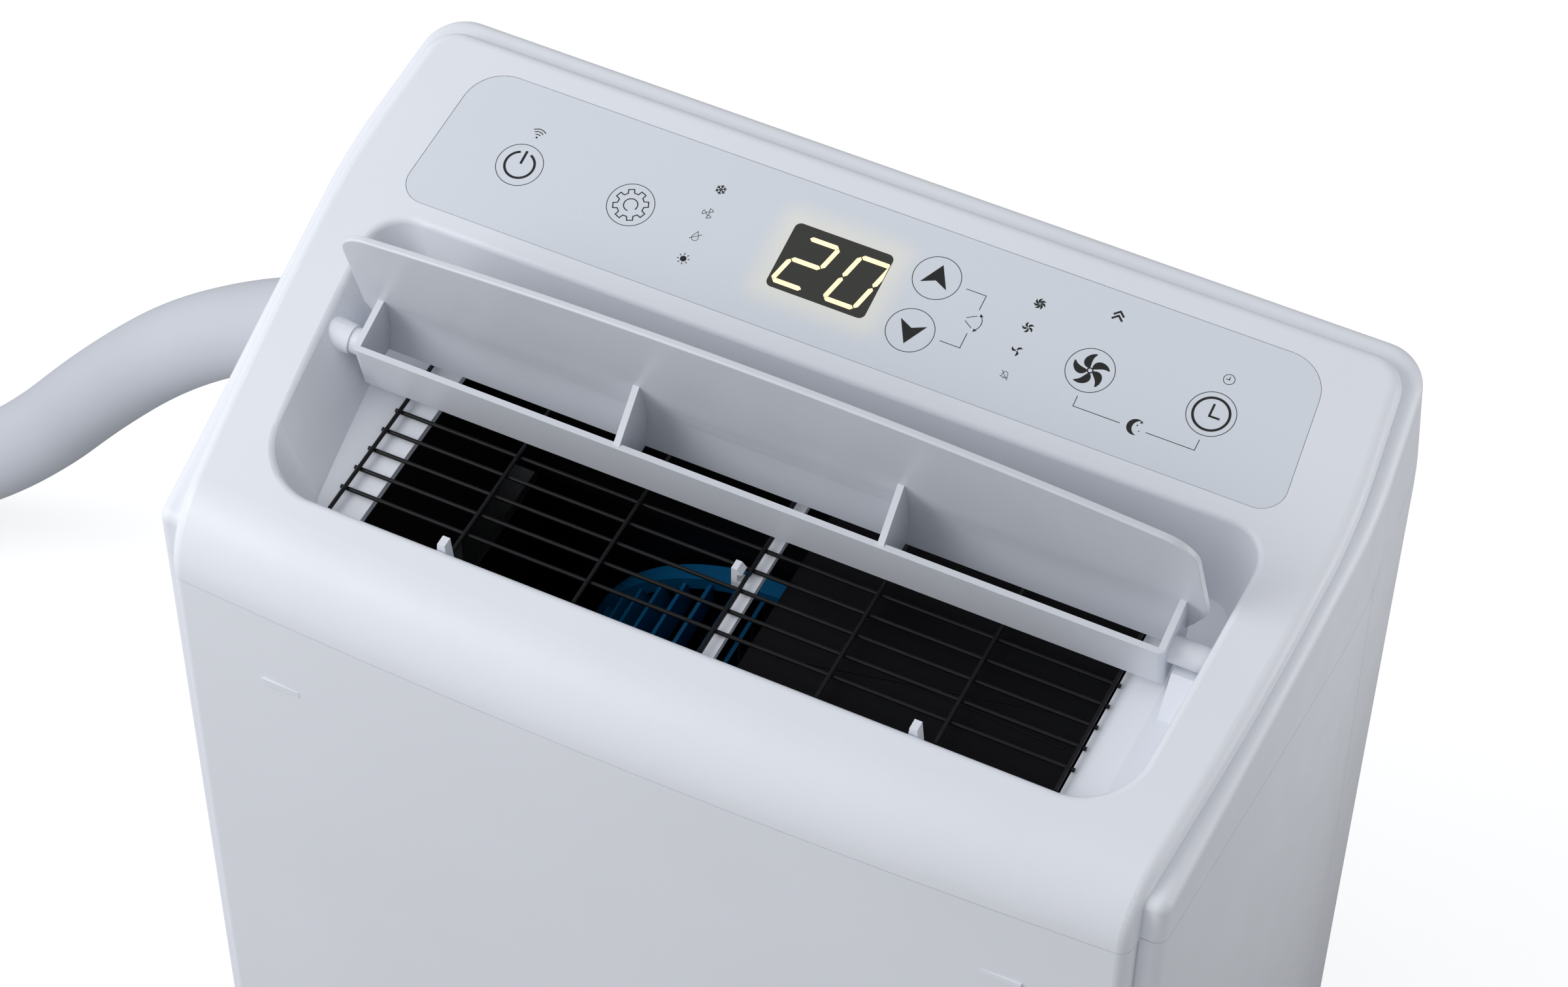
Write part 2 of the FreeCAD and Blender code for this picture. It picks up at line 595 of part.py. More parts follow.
def drip_pan():
    outer = box(-168, 168, 38, 88, 366, 384)
    pan = outer.cut(box(-166, 166, 40, 86, 368, 385))
    return pan.cut(cylinder(6, (-125, 60, 360), (-125, 60, 372)))


def coil_shroud():
    """Plenum between the coil and the blower's intake."""
    outer = box(-152, 152, -31.5, 37.5, 384, 612)
    shroud = outer.cut(box(-150, 150, -29.5, 41, 386, 610))
    return shroud.cut(cylinder(90.3, (0, -35, AXIS_Z), (0, -25, AXIS_Z)))


COMPRESSOR = V(70, 20, 0)


def compressor():
    x, y = COMPRESSOR.x, COMPRESSOR.y
    shell = tube(62, 57, (x, y, 92), (x, y, 258))
    caps = []
    for z, inner_z, sign in ((92, 88, -1), (258, 254, 1)):
        dome = Part.makeSphere(76, V(x, y, z - sign * 44)).common(cylinder(62, (x, y, z), (x, y, z + sign * 40)))
        hollow = Part.makeSphere(71, V(x, y, z - sign * 44)).common(cylinder(57, (x, y, z), (x, y, z + sign * 40)))
        caps.append(dome.cut(hollow))
    feet = [box(x - 82, x + 82, y - 12, y + 12, 80, 84)]
    feet.append(cylinder(60, (x, y, 80), (x, y, 84)))
    plate = union(feet)
    for dx in (-72, 72):
        plate = plate.cut(cylinder(6.5, (x + dx, y, 70), (x + dx, y, 90)))
    terminal = cylinder(14, (x, y - 30, 280), (x, y - 30, 292))
    return union([shell] + caps + [plate.cut(cylinder(50, (x, y, 70), (x, y, 90))), terminal])


def compressor_mounts():
    x, y = COMPRESSOR.x, COMPRESSOR.y
    mounts = []
    for dx in (-72, 72):
        foot = Part.makeCone(12, 8, 24.9, V(x + dx, y, 55), Z)
        neck = cylinder(6.2, (x + dx, y, 79), (x + dx, y, 85))
        head = cylinder(9, (x + dx, y, 84.1), (x + dx, y, 89))
        mounts.append(union([foot, neck, head]))
    return Part.makeCompound(mounts)


def accumulator():
    x, y = -22, 20
    body = cylinder(22, (x, y, 120), (x, y, 240))
    caps = [Part.makeCone(22, 8, 12, V(x, y, 240), Z), Part.makeCone(22, 8, 12, V(x, y, 120), Z * -1)]
    return union([body] + caps)


def pipe(points, radius, bend):
    """Round pipe through corner points, each corner an arc."""
    wire = [V(*p) for p in points]
    edges, start = [], wire[0]
    for previous, corner, following in zip(wire, wire[1:], wire[2:]):
        back = previous - corner
        ahead = following - corner
        back.normalize()
        ahead.normalize()
        half = back.getAngle(ahead) / 2
        reach = bend / math.tan(half)
        inward = back + ahead
        inward.normalize()
        begin, end = corner + back * reach, corner + ahead * reach
        crown = corner + inward * (bend / math.sin(half) - bend)
        edges.append(Part.LineSegment(start, begin).toShape())
        edges.append(Part.Arc(begin, crown, end).toShape())
        start = end
    edges.append(Part.LineSegment(start, wire[-1]).toShape())
    path = Part.Wire(edges)
    circle = Part.Wire(Part.makeCircle(radius, wire[0], wire[1] - wire[0]))
    return path.makePipeShell([circle], True, False)


def refrigerant_pipes():
    """Suction, discharge, coil and hose lines in copper."""
    x, y = COMPRESSOR.x, COMPRESSOR.y
    lines = [
        pipe([(-22, 20, 252.2), (-22, 20, 285), (-22, -60, 285)], 5, 14),
        pipe([(x + 25, y, 287), (x + 25, y, 300), (x + 25, -60, 300)], 4, 10),
        pipe([(-70, 60, 300), (-70, 60, 354), (-70, 154, 354)], 5, 16),
        pipe([(-92, 50, 300), (-92, 110, 300), (-92, 110, 352), (-84, 154, 352)], 4, 8),
    ]
    return Part.makeCompound(lines)


def reversing_valve():
    body = cylinder(13, (-34, -73.2, 292), (112, -73.2, 292))
    coil = cylinder(16, (20, -96, 292), (20, -130, 292))
    link = cylinder(8, (20, -85, 292), (20, -97, 292))
    return union([body, coil, link])


def mid_deck():
    deck = prism(FRAME, DECK_Z, DECK_Z + 3, SKIN + 0.6)
    holes = [cylinder(18, (-70, 60, 300), (-70, 60, 320)), cylinder(10, (-125, 60, 300), (-125, 60, 320)),
             cylinder(10, (-92, 108, 300), (-92, 108, 320))]
    return deck.cut(Part.makeCompound(holes))


def condensate_tank():
    tank = box(-142, -60, 60, 150, 54.2, 130).cut(box(-139, -63, 63, 147, 57, 127))
    return tank.cut(cylinder(8, (-125, 72, 120), (-125, 72, 140)))


def drain_pump():
    motor = cylinder(20, (-100, 100, 134), (-100, 100, 176))
    foot = box(-124, -76, 76, 124, 130.2, 134)
    nozzle = cylinder(5, (-100, 116, 150), (-100, 134, 150))
    return union([motor, foot, nozzle])


def electrical_box():
    tray = box(-192, -62, -148, -30, 110, 290).cut(box(-190, -64, -148.5, -32, 112, 288))
    return tray


def control_board():
    board = box(-186, -68, -44, -42, 116, 284)
    parts = [cylinder(11, (-160, -44, 150), (-160, -80, 150)), cylinder(11, (-130, -44, 150), (-130, -80, 150)),
             box(-112, -76, -68, -44, 200, 250), box(-180, -140, -60, -44, 200, 240)]
    return union([board] + parts)


def power_choke():
    core = tube(26, 13, (-110, -128, 150), (-110, -100, 150))
    return union([core, box(-138, -82, -128, -100, 112.2, 126)])


# ---- base ----
def base_outline(inset, z0, z1):
    ahead = prism(ISLAND, z0, z1, inset).common(box(-300, 300, -300, 0, z0 - 1, z1 + 1))
    return prism(FRAME, z0, z1, inset).fuse(ahead)


def base_tray():
    plinth = base_outline(4.0, BASE_Z, SKIRT_Z - GAP)
    upstand = base_outline(SKIN + 0.5, SKIRT_Z - GAP, 82)
    tray = plinth.fuse(upstand).cut(base_outline(SKIN + 3.0, BASE_Z + 4, 90))
    for x, y in CASTOR_AT.values():
        boss = cylinder(10, (x, y, BASE_Z + 3), (x, y, 72))
        tray = tray.fuse(boss).cut(cylinder(4 + RUNNING, (x, y, BASE_Z - 1), (x, y, 68)))
    return tray.cut(cover_screws()).removeSplitter()


def castor_plates():
    return Part.makeCompound([tube(15, 4 + RUNNING, (x, y, 45.6), (x, y, BASE_Z))
                              for x, y in CASTOR_AT.values()])


def castor_fork(x, y):
    wheel_y = y + CASTOR_TRAIL
    top = box(x - 13, x + 13, y - 13, wheel_y + 6, 42.2, 45.3)
    cheeks = [polygon_x([(y - 10, 43), (wheel_y + 6, 43), (wheel_y + 7, 20), (wheel_y, 12), (wheel_y - 8, 18)],
                        x + side * 11.8 - 1.2, x + side * 11.8 + 1.2) for side in (-1, 1)]
    stem = cylinder(4, (x, y, 43), (x, y, 67.5))
    axle = cylinder(3, (x - 13.6, wheel_y, CASTOR_WHEEL_R), (x + 13.6, wheel_y, CASTOR_WHEEL_R))
    return union([top, stem, axle] + cheeks)


def castor_wheel(x, y):
    wheel_y = y + CASTOR_TRAIL
    section = [(0, 3 + RUNNING), (0, 9), (2, 9), (2, 16.5), (0, 16.5), (0, 18.5), (1.5, 20), (17.5, 20),
               (19, 18.5), (19, 16.5), (17, 16.5), (17, 9), (19, 9), (19, 3 + RUNNING)]
    points = [V(a - 9.5, 0, r) for a, r in section]
    wheel = Part.Face(Part.makePolygon(points + points[:1])).revolve(V(0, 0, 0), X, 360)
    wheel.translate(V(x, wheel_y, CASTOR_WHEEL_R))
    return wheel


def cover_screws():
    """Countersunk screws in the underside of the plinth."""
    screws = []
    for x, y in ((-120, -140), (120, -140), (-185, 0), (185, 0), (-100, 160), (100, 160)):
        head = Part.makeCone(4, 2, 2.2, V(x, y, BASE_Z), Z)
        shank = cylinder(1.9, (x, y, BASE_Z + 2.1), (x, y, BASE_Z + 18))
        screws.append(union([head, shank]))
    return Part.makeCompound(screws)


# ---- hose ----
def hose_port():
    """Socket in the rear cover that the hose's elbow plugs into."""
    sleeve = cylinder(ELBOW_R + 6.7, (PORT.x, 158, PORT.z), (PORT.x, REAR_Y - 0.1, PORT.z))
    flange = cylinder(ELBOW_R + 12, (PORT.x, 167.8, PORT.z), (PORT.x, REAR_Y - SKIN - 1.2, PORT.z))
    return union([sleeve, flange]).cut(cylinder(ELBOW_R + 0.2, (PORT.x, 150, PORT.z), (PORT.x, 180, PORT.z)))


def hose_elbow():
    """End piece of the hose, which turns it from the rear face to the left."""
    end = V(*HOSE_ROUTE[0])
    route = [(PORT.x, 160, PORT.z), (PORT.x, end.y, PORT.z), tuple(end)]
    elbow = pipe(route, ELBOW_R, ELBOW_BEND_R - 1)
    collar = cylinder(ELBOW_R + 8, (PORT.x, REAR_Y + 0.2, PORT.z), (PORT.x, REAR_Y + 5, PORT.z))
    cuff = cylinder(ELBOW_R + 2.5, (end.x, end.y, end.z), (end.x + 14, end.y, end.z))
    return union([elbow, collar, cuff]).cut(pipe(route, 19, ELBOW_BEND_R - 1))


def hose_path():
    """Straight runs joined by tangent arcs; each arc is as large as its two runs allow."""
    points = [V(*p) for p in HOSE_ROUTE]
    edges, start = [], points[0]
    for previous, corner, following in zip(points, points[1:], points[2:]):
        back, ahead = previous - corner, following - corner
        shorter = min(back.Length, ahead.Length)
        back.normalize()
        ahead.normalize()
        half_turn = (math.pi - back.getAngle(ahead)) / 2
        radius = 0.45 * shorter / math.tan(half_turn)
        print("hose arc radius", round(radius, 1))
        reach = 0.45 * shorter
        inward = back + ahead
        inward.normalize()
        begin, end = corner + back * reach, corner + ahead * reach
        crown = corner + inward * (radius / math.cos(half_turn) - radius)
        edges.append(Part.LineSegment(start, begin).toShape())
        edges.append(Part.Arc(begin, crown, end).toShape())
        start = end
    edges.append(Part.LineSegment(start, points[-1]).toShape())
    return Part.Wire(edges)


def line_hose():
    path = hose_path()
    first, second = V(*HOSE_ROUTE[0]), V(*HOSE_ROUTE[1])
    circle = Part.Wire(Part.makeCircle(HOSE_R, first, second - first))
    hose = path.makePipeShell([circle], True, False)
    expected = math.pi * HOSE_R ** 2 * path.Length
    print("hose length", round(path.Length, 1), "volume ratio", round(hose.Volume / expected, 4))
    return hose


def hose_coupling():
    """Quick coupling at the far end, with two capped refrigerant nipples."""
    end = V(*HOSE_ROUTE[-1])
    along = end - V(*HOSE_ROUTE[-2])
    along.normalize()
    across = Z.cross(along)

    def stretch(radius, a, b, offset=0.0):
        return cylinder(radius, tuple(end + along * a + across * offset), tuple(end + along * b + across * offset))
    body = [stretch(22.9, 0, 12), stretch(20.5, 12, 46), stretch(22.5, 46, 58)]
    nipples = [stretch(6.5, 58, 76, offset) for offset in (-10, 10)]
    return union(body + nipples)


# ---- export ----
def main():
    skin = cabinet_skin()
    cover = top_cover(skin)
    parts = {
        "top_cover": cover,
        "front_panel": front_panel(skin),
        "side_panel_left": side_panel(skin, -1),
        "side_panel_right": side_panel(skin, 1),
        "rear_cover": rear_cover(skin),
        "grip_cup": grip_cup(),
        "service_pocket": service_pocket(),
        "drain_plug": drain_plug(),
        "drain_spout": drain_spout(),
        "cord_gland": cord_gland(),
        "intake_door": intake_door(),
        "air_filter": air_filter(),
        "control_inlay": control_inlay(),
        "display_window": display_window(),
        "display_module": display_module(),
        "touch_board": touch_board(),
        "outlet_grille": outlet_grille(),
        "duct_divider": duct_divider(),
        "louver": louver(),
        "louver_cradle": louver_cradle(cover),
        "louver_motor": louver_motor(),
        "outlet_duct": outlet_duct(),
        "duct_deflector": duct_deflector(),
        "blower_scroll": blower_scroll(),
        "blower_wheel": blower_wheel(),
        "blower_motor": blower_motor(),
        "motor_bracket": motor_bracket(),
        "intake_ring": intake_ring(),
        "evaporator_fins": evaporator_fins(),
        "evaporator_bends": evaporator_bends(),
        "drip_pan": drip_pan(),
        "coil_shroud": coil_shroud(),
        "compressor": compressor(),
        "compressor_mounts": compressor_mounts(),
        "accumulator": accumulator(),
        "refrigerant_pipes": refrigerant_pipes(),
        "reversing_valve": reversing_valve(),
        "mid_deck": mid_deck(),
        "condensate_tank": condensate_tank(),
        "drain_pump": drain_pump(),
        "electrical_box": electrical_box(),
        "control_board": control_board(),
        "power_choke": power_choke(),
        "base_tray": base_tray(),
        "castor_plates": castor_plates(),
        "cover_screws": cover_screws(),
        "hose_port": hose_port(),
        "hose_elbow": hose_elbow(),
        "line_hose": line_hose(),
        "hose_coupling": hose_coupling(),
    }
    for place, (x, y) in CASTOR_AT.items():
        parts["castor_fork_" + place] = castor_fork(x, y)
        parts["castor_wheel_" + place] = castor_wheel(x, y)
    os.makedirs("parts", exist_ok=True)
    for name, shape in parts.items():
        bounds = shape.optimalBoundingBox(True, False)
        print(f"{name:28s} solids {len(shape.Solids):3d} valid {shape.isValid()} volume {shape.Volume / 1000:9.1f} cm3",
              [round(v, 1) for v in (bounds.XMin, bounds.XMax, bounds.YMin, bounds.YMax, bounds.ZMin, bounds.ZMax)])
        shape.exportStep(os.path.join("parts", name + ".step"))


main()
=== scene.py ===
"""Indoor unit of a portable air conditioner: materials, printed symbols, display, hose, light and camera."""
import json
import math

import bmesh
import bpy
from mathutils import Matrix, Vector


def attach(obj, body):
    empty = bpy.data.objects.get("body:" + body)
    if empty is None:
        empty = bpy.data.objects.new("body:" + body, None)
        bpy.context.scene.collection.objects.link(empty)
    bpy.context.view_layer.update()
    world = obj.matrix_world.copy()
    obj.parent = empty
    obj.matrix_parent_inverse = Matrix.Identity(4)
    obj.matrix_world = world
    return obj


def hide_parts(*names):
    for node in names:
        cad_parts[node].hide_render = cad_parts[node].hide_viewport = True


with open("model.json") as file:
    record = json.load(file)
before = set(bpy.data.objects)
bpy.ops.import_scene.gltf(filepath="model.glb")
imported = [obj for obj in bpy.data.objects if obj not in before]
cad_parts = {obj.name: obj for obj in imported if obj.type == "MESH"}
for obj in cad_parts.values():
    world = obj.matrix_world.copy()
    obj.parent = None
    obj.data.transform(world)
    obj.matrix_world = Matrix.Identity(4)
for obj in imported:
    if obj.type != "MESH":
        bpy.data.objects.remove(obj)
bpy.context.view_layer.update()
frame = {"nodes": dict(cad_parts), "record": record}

MM = 0.001
nodes = frame["nodes"]

# ---- the sloping top plane: x across, v up the slope, h above it, in millimetres ----
TILT = math.radians(13.7)
ROW = Vector((0, 18.0, 704.0))
UP_SLOPE = Vector((0, math.cos(TILT), math.sin(TILT)))
TOP_UP = Vector((0, -math.sin(TILT), math.cos(TILT)))
PANEL_H = -0.1             # surface of the touch panel
WINDOW_H = -0.12           # surface of the display window
INK = 0.05                 # thickness of the print
THIN, MEDIUM, BOLD = 0.27, 0.42, 1.0
RING_R = 9.5
PLASTIC_IOR = 1.46


def on_top(x, v, h=PANEL_H):
    return (ROW + Vector((x, 0, 0)) + UP_SLOPE * v + TOP_UP * h) * MM


# ---- materials ----
def new_material(name):
    material = bpy.data.materials.new(name)
    material.use_nodes = True
    return material, material.node_tree, material.node_tree.nodes["Principled BSDF"]


def add(tree, kind, **inputs):
    node = tree.nodes.new(kind)
    for key, value in inputs.items():
        node.inputs[key.replace("_", " ")].default_value = value
    return node


def noise(tree, scale, detail=2.0, stretch=(1, 1, 1)):
    place = tree.nodes.new("ShaderNodeTexCoord")
    mapping = add(tree, "ShaderNodeMapping", Scale=stretch)
    texture = add(tree, "ShaderNodeTexNoise", Scale=scale, Detail=detail)
    tree.links.new(place.outputs["Object"], mapping.inputs["Vector"])
    tree.links.new(mapping.outputs["Vector"], texture.inputs["Vector"])
    return texture.outputs["Fac"]


def spread(tree, value, low, high):
    """Map a noise value's useful middle range to low..high."""
    ramp = add(tree, "ShaderNodeMapRange")
    for index, setting in ((1, 0.3), (2, 0.7), (3, low), (4, high)):
        ramp.inputs[index].default_value = setting
    tree.links.new(value, ramp.inputs[0])
    return ramp.outputs[0]


def tinted(tree, value, colour, change):
    """Colour that drifts between two near shades."""
    mix = tree.nodes.new("ShaderNodeMix")
    mix.data_type = "RGBA"
    mix.inputs[6].default_value = (*[c * (1 - change) for c in colour], 1)
    mix.inputs[7].default_value = (*[min(1, c * (1 + change)) for c in colour], 1)
    tree.links.new(value, mix.inputs[0])
    return mix.outputs[2]


def moulded(name, colour, rough=0.42, grain=1500, bump=0.05, drift=0.015, coat=0.0, sheen=0.0, specular=0.5):
    """Moulded plastic: slight colour drift, fine grain, patchy gloss."""
    material, tree, shader = new_material(name)
    patches = spread(tree, noise(tree, 9, 3), 0, 1)
    tree.links.new(tinted(tree, patches, colour, drift), shader.inputs["Base Color"])
    tree.links.new(spread(tree, noise(tree, 60, 4), rough - 0.04, rough + 0.05), shader.inputs["Roughness"])
    bumps = add(tree, "ShaderNodeBump", Strength=bump, Distance=0.0002)
    tree.links.new(noise(tree, grain, 3), bumps.inputs["Height"])
    tree.links.new(bumps.outputs["Normal"], shader.inputs["Normal"])
    shader.inputs["IOR"].default_value = PLASTIC_IOR
    shader.inputs["Specular IOR Level"].default_value = specular
    shader.inputs["Coat Weight"].default_value = coat
    shader.inputs["Sheen Weight"].default_value = sheen
    return material


def metal(name, colour, rough=0.35, stretch=(1, 1, 12), scale=120, bump=0.08):
    """Bare or brushed metal with fine lines."""
    material, tree, shader = new_material(name)
    lines = noise(tree, scale, 4, stretch)
    tree.links.new(tinted(tree, spread(tree, lines, 0, 1), colour, 0.06), shader.inputs["Base Color"])
    tree.links.new(spread(tree, lines, rough - 0.08, rough + 0.08), shader.inputs["Roughness"])
    bumps = add(tree, "ShaderNodeBump", Strength=bump, Distance=0.0002)
    tree.links.new(lines, bumps.inputs["Height"])
    tree.links.new(bumps.outputs["Normal"], shader.inputs["Normal"])
    shader.inputs["Metallic"].default_value = 1.0
    return material


def glow(name, colour, strength):
    """Lit display segment with a slight drift in its light."""
    material, tree, shader = new_material(name)
    patches = spread(tree, noise(tree, 300, 2), 0, 1)
    tree.links.new(tinted(tree, patches, colour, 0.05), shader.inputs["Base Color"])
    tree.links.new(tinted(tree, spread(tree, noise(tree, 420, 2), 0, 1), colour, 0.12),
                   shader.inputs["Emission Color"])
    shader.inputs["Emission Strength"].default_value = strength
    shader.inputs["Roughness"].default_value = 0.5
    return material


def panel_with_painted_glow(name, colour, painted_glow_colour, reach):
    """Smooth printed panel with a painted glow: round the window its colour is mixed towards the lit
    display's warm light.
    """
    material = moulded(name, colour, 0.24, bump=0.01, drift=0.006, coat=0.3)
    tree = material.node_tree
    shader = tree.nodes["Principled BSDF"]
    plain = shader.inputs["Base Color"].links[0].from_socket
    place = tree.nodes.new("ShaderNodeTexCoord")
    parts = tree.nodes.new("ShaderNodeSeparateXYZ")
    tree.links.new(place.outputs["Object"], parts.inputs[0])

    def maths(operation, first, second=0.0):
        node = tree.nodes.new("ShaderNodeMath")
        node.operation = operation
        for index, value in enumerate((first, second)):
            if isinstance(value, float):
                node.inputs[index].default_value = value
            else:
                tree.links.new(value, node.inputs[index])
        return node.outputs[0]

    x0, x1, v0, v1 = (c * MM for c in WINDOW)
    slope = maths("DIVIDE", maths("SUBTRACT", parts.outputs[1], ROW.y * MM), math.cos(TILT))
    squares = []
    for value, low, high in ((parts.outputs[0], x0, x1), (slope, v0, v1)):
        offset = maths("ABSOLUTE", maths("SUBTRACT", value, (low + high) / 2))
        outside = maths("MAXIMUM", maths("SUBTRACT", offset, (high - low) / 2), 0.0)
        squares.append(maths("POWER", outside, 2.0))
    distance = maths("POWER", maths("ADD", *squares), 0.5)
    fade = add(tree, "ShaderNodeMapRange")
    fade.interpolation_type = "SMOOTHSTEP"
    for index, setting in ((1, 0.0), (2, reach), (3, 0.75), (4, 0.0)):
        fade.inputs[index].default_value = setting
    tree.links.new(distance, fade.inputs[0])
    # painted glow: the display's light mixed into the panel's colour, fading out within reach of the window
    mix = tree.nodes.new("ShaderNodeMix")
    mix.data_type = "RGBA"
    mix.inputs[7].default_value = (*painted_glow_colour, 1)
    tree.links.new(fade.outputs[0], mix.inputs[0])
    tree.links.new(plain, mix.inputs[6])
    tree.links.new(mix.outputs[2], shader.inputs["Base Color"])
    return material


WINDOW = (-33.0, 8.2, -12.4, 17.4)     # display window: x and v

MATERIALS = {
    "white_plastic": moulded("white_plastic", (0.79, 0.815, 0.875), 0.38, bump=0.04),
    # the louver is the cover's white plastic made darker: painted shade on the forward-leaning blade, which
    # faces away from the light
    "louver_plastic_painted_shade": moulded("louver_plastic_painted_shade", (0.70, 0.725, 0.78), 0.34, bump=0.03, drift=0.03),
    # the inlay's colour carries a painted glow from the lit display round its window
    "inlay_plastic": panel_with_painted_glow("inlay_plastic", (0.70, 0.745, 0.81), (0.86, 0.85, 0.78), 0.012),
    "display_lens": moulded("display_lens", (0.022, 0.024, 0.018), 0.2, bump=0.0, coat=0.3),
    "black_wire": moulded("black_wire", (0.004, 0.004, 0.005), 0.34, grain=3000, bump=0.1, specular=0.3),
    "grey_plastic": moulded("grey_plastic", (0.50, 0.52, 0.55), 0.45, bump=0.06),
    "black_plastic": moulded("black_plastic", (0.003, 0.003, 0.004), 0.42, bump=0.08, specular=0.15),
    "blue_plastic": moulded("blue_plastic", (0.003, 0.10, 0.24), 0.34, bump=0.04, specular=0.3),
    "motor_steel": metal("motor_steel", (0.55, 0.56, 0.58)),
    "copper": metal("copper", (0.72, 0.36, 0.20), 0.3),
    "fin_aluminium": metal("fin_aluminium", (0.72, 0.74, 0.76), 0.4, (30, 1, 1), 40),
    "black_steel": moulded("black_steel", (0.02, 0.02, 0.022), 0.35, grain=900, bump=0.15, coat=0.3),
    "rubber_black": moulded("rubber_black", (0.018, 0.018, 0.018), 0.7, grain=700, bump=0.2),
    "board_green": moulded("board_green", (0.03, 0.16, 0.06), 0.35, bump=0.1, coat=0.4),
    "castor_grey": moulded("castor_grey", (0.09, 0.095, 0.10), 0.5, bump=0.08),
    "screw_steel": metal("screw_steel", (0.66, 0.66, 0.68), 0.28),
    "hose_sleeve": moulded("hose_sleeve", (0.58, 0.61, 0.68), 0.55, grain=600, bump=0.08, drift=0.03,
                           sheen=0.15),
    "filter_mesh": moulded("filter_mesh", (0.06, 0.065, 0.07), 0.6, bump=0.2),
    "ink": moulded("ink", (0.006, 0.006, 0.007), 0.4, bump=0.02),
    "segment": glow("segment", (0.92, 0.70, 0.40), 0.9),
}

SLOT_MATERIAL = {"black_metal": "black_wire"}
# the louver takes the darkened copy of the white plastic, painted shade
OWN_MATERIAL = {"louver": "louver_plastic_painted_shade"}


def dress_nodes():
    for part in frame["record"]["subparts"]:
        name, slot = part["node"], part["material_slot"]
        choice = OWN_MATERIAL.get(name, SLOT_MATERIAL.get(slot, slot))
        mesh = nodes[name].data
        mesh.materials.clear()
        mesh.materials.append(MATERIALS[choice])


# ---- printed symbols: flat shapes in (x, v), given a hair of thickness ----
def finish_piece(name, mesh, material, body="cabinet"):
    piece = bpy.data.objects.new(name, mesh)
    bpy.context.scene.collection.objects.link(piece)
    mesh.materials.append(MATERIALS[material])
    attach(piece, body)
    return piece


class Print:
    """Collects flat polygons on the panel and turns them into one thin piece."""

    def __init__(self, name, x=0.0, v=0.0, scale=1.0, material="ink", base=PANEL_H, clip_x=None):
        self.name, self.x, self.v, self.scale = name, x, v, scale
        self.material, self.base, self.clip_x = material, base, clip_x
        self.faces = []

    def face(self, points):
        self.faces.append([(self.x + a * self.scale, self.v + b * self.scale) for a, b in points])
        return self

    def stroke(self, points, width, closed=False):
        """Line of even width through points, with mitred corners."""
        count = len(points)
        left, right = [], []
        for i, (x, v) in enumerate(points):
            before = points[i - 1] if i or closed else points[i]
            after = points[(i + 1) % count] if i < count - 1 or closed else points[i]
            a = Vector((x - before[0], v - before[1]))
            b = Vector((after[0] - x, after[1] - v))
            a = a.normalized() if a.length else b.normalized()
            b = b.normalized() if b.length else a
            mean = (a + b).normalized()
            side = Vector((-mean.y, mean.x)) * (width / 2 / max(0.35, mean.dot(b)))
            left.append((x + side.x, v + side.y))
            right.append((x - side.x, v - side.y))
        for i in range(count if closed else count - 1):
            k = (i + 1) % count
            self.face([left[i], right[i], right[k], left[k]])
        return self

    def arc(self, radius, width, start=0.0, end=360.0, x=0.0, v=0.0, steps=64):
        whole = end - start >= 360
        count = max(8, int(steps * (end - start) / 360))
        places = range(count if whole else count + 1)
        angles = [math.radians(start + (end - start) * i / count) for i in places]
        points = [(x + radius * math.cos(a), v + radius * math.sin(a)) for a in angles]
        return self.stroke(points, width, whole)

    def disc(self, radius, x=0.0, v=0.0, steps=32):
        angles = [2 * math.pi * i / steps for i in range(steps)]
        return self.face([(x + radius * math.cos(a), v + radius * math.sin(a)) for a in angles])

    def strip(self, left, right):
        """Filled shape between two lines of points."""
        for i in range(len(left) - 1):
            self.face([left[i], right[i], right[i + 1], left[i + 1]])
        return self

    def blade(self, angle, inner, outer, width, sweep):
        """Fan blade: it starts narrow at the hub, swells and curls towards its tip."""
        left, right = [], []
        for i in range(15):
            t = i / 14
            radius = inner + (outer - inner) * t
            turn = math.radians(angle + sweep * t * t)
            swell = math.sin(math.pi * min(1, t ** 1.15)) ** 0.6 if 0 < t < 1 else 0
            half = width / 2 * (0.16 + 0.84 * swell)
            centre = Vector((radius * math.cos(turn), radius * math.sin(turn)))
            side = Vector((-math.sin(turn), math.cos(turn))) * half
            left.append(tuple(centre + side))
            right.append(tuple(centre - side))
        return self.strip(left, right)

    def in_order(self, bm):
        """The mesh's corners, edges and faces, sorted by position, so that every run lists them alike."""
        corners = sorted(bm.verts, key=lambda vert: tuple(vert.co))
        number = {vert: i for i, vert in enumerate(corners)}
        faces = []
        for face in bm.faces:
            ring = [number[vert] for vert in face.verts]
            first = ring.index(min(ring))
            faces.append(ring[first:] + ring[:first])
        places = [on_top(vert.co.x, vert.co.y, self.base + vert.co.z) for vert in corners]
        return places, [], sorted(faces)

    def make(self):
        bm = bmesh.new()
        for points in self.faces:
            corners = [bm.verts.new((x, v, 0)) for x, v in points]
            bm.faces.new(corners)
        bmesh.ops.remove_doubles(bm, verts=bm.verts, dist=1e-4)
        if self.clip_x is not None:
            everything = bm.verts[:] + bm.edges[:] + bm.faces[:]
            bmesh.ops.bisect_plane(bm, geom=everything, plane_co=(self.clip_x, 0, 0), plane_no=(1, 0, 0),
                                   clear_outer=True)
        bmesh.ops.recalc_face_normals(bm, faces=bm.faces)
        for face in bm.faces:
            if face.normal.z < 0:
                face.normal_flip()
        top = bmesh.ops.extrude_face_region(bm, geom=bm.faces[:])
        for vert in (g for g in top["geom"] if isinstance(g, bmesh.types.BMVert)):
            vert.co.z += INK
        bmesh.ops.recalc_face_normals(bm, faces=bm.faces)
        mesh = bpy.data.meshes.new(self.name)
        mesh.from_pydata(*self.in_order(bm))
        bm.free()
        return finish_piece(self.name, mesh, self.material)


def key(name, x, v):
    """A touch key: its thin ring, ready for the symbol inside."""
    return Print(name, x, v).arc(RING_R - THIN / 2, THIN)


def power_key():
    symbol = key("key_power", -144.0, 0.0)
    symbol.arc(5.9, BOLD, 112, 428)
    symbol.stroke([(0.1, 0.6), (0.1, 6.7)], BOLD)
    symbol.make()


